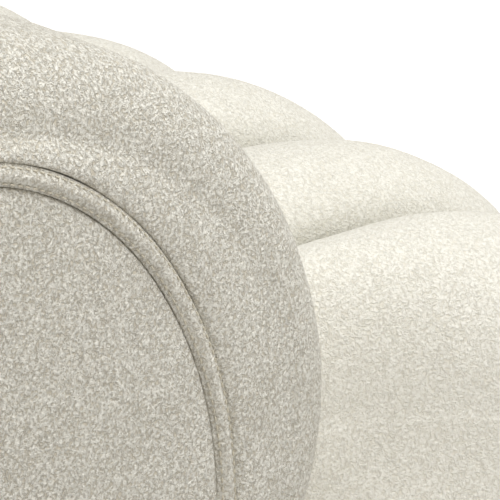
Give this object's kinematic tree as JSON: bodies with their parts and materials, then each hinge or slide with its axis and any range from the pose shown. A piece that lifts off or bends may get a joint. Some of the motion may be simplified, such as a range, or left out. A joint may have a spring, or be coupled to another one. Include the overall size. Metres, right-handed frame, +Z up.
{
  "type": "tuxedo sofa",
  "caption": "Low sofa with thick bullnose slab arms as high as the back, and rolled channels that run over a waterfall seat front",
  "frame": {"origin": "on the floor under the middle of the footprint", "axes": "+X along the sofa, +Y to its back, so the front faces -Y, +Z up"},
  "size_m": [2.08, 0.96, 0.6502],
  "materials": {
    "boucle": "looped cream cloth",
    "dust_cloth": "thin non-woven cloth",
    "foam": "open-cell seat foam",
    "foot_wood": "stained and lacquered",
    "glide": "moulded",
    "plywood": "birch board, raw",
    "steel": "zinc plated",
    "timber": "sawn softwood",
    "webbing": "woven elastic strap",
    "welt_cloth": "looped cream cloth, twin stitched"
  },
  "bodies": {
    "root": {"arm_bolts": "steel", "back_channels": "boucle", "back_outside_cover": "boucle", "back_outside_panel": "boucle", "back_posts": "timber", "back_rail": "timber", "back_top_rail": "timber", "back_webbing": "webbing", "back_welt": "welt_cloth", "base_border": "boucle", "centre_rails": "timber", "corner_blocks": "timber", "cross_webbing": "webbing", "dust_cover": "dust_cloth", "feet": "foot_wood", "foot_blocks": "timber", "foot_glides": "glide", "foot_plates": "steel", "foot_screws": "steel", "foot_studs": "steel", "front_rail": "timber", "left_arm_boards": "plywood", "left_arm_cover": "boucle", "left_arm_outside_panel": "boucle", "left_arm_spacers": "timber", "left_arm_welt": "welt_cloth", "left_seat_end": "boucle", "left_side_rail": "timber", "right_arm_boards": "plywood", "right_arm_cover": "boucle", "right_arm_outside_panel": "boucle", "right_arm_spacers": "timber", "right_arm_welt": "welt_cloth", "right_seat_end": "boucle", "right_side_rail": "timber", "seat_channels": "boucle", "seat_foam": "foam", "seat_webbing": "webbing"}
  },
  "joints": []
}
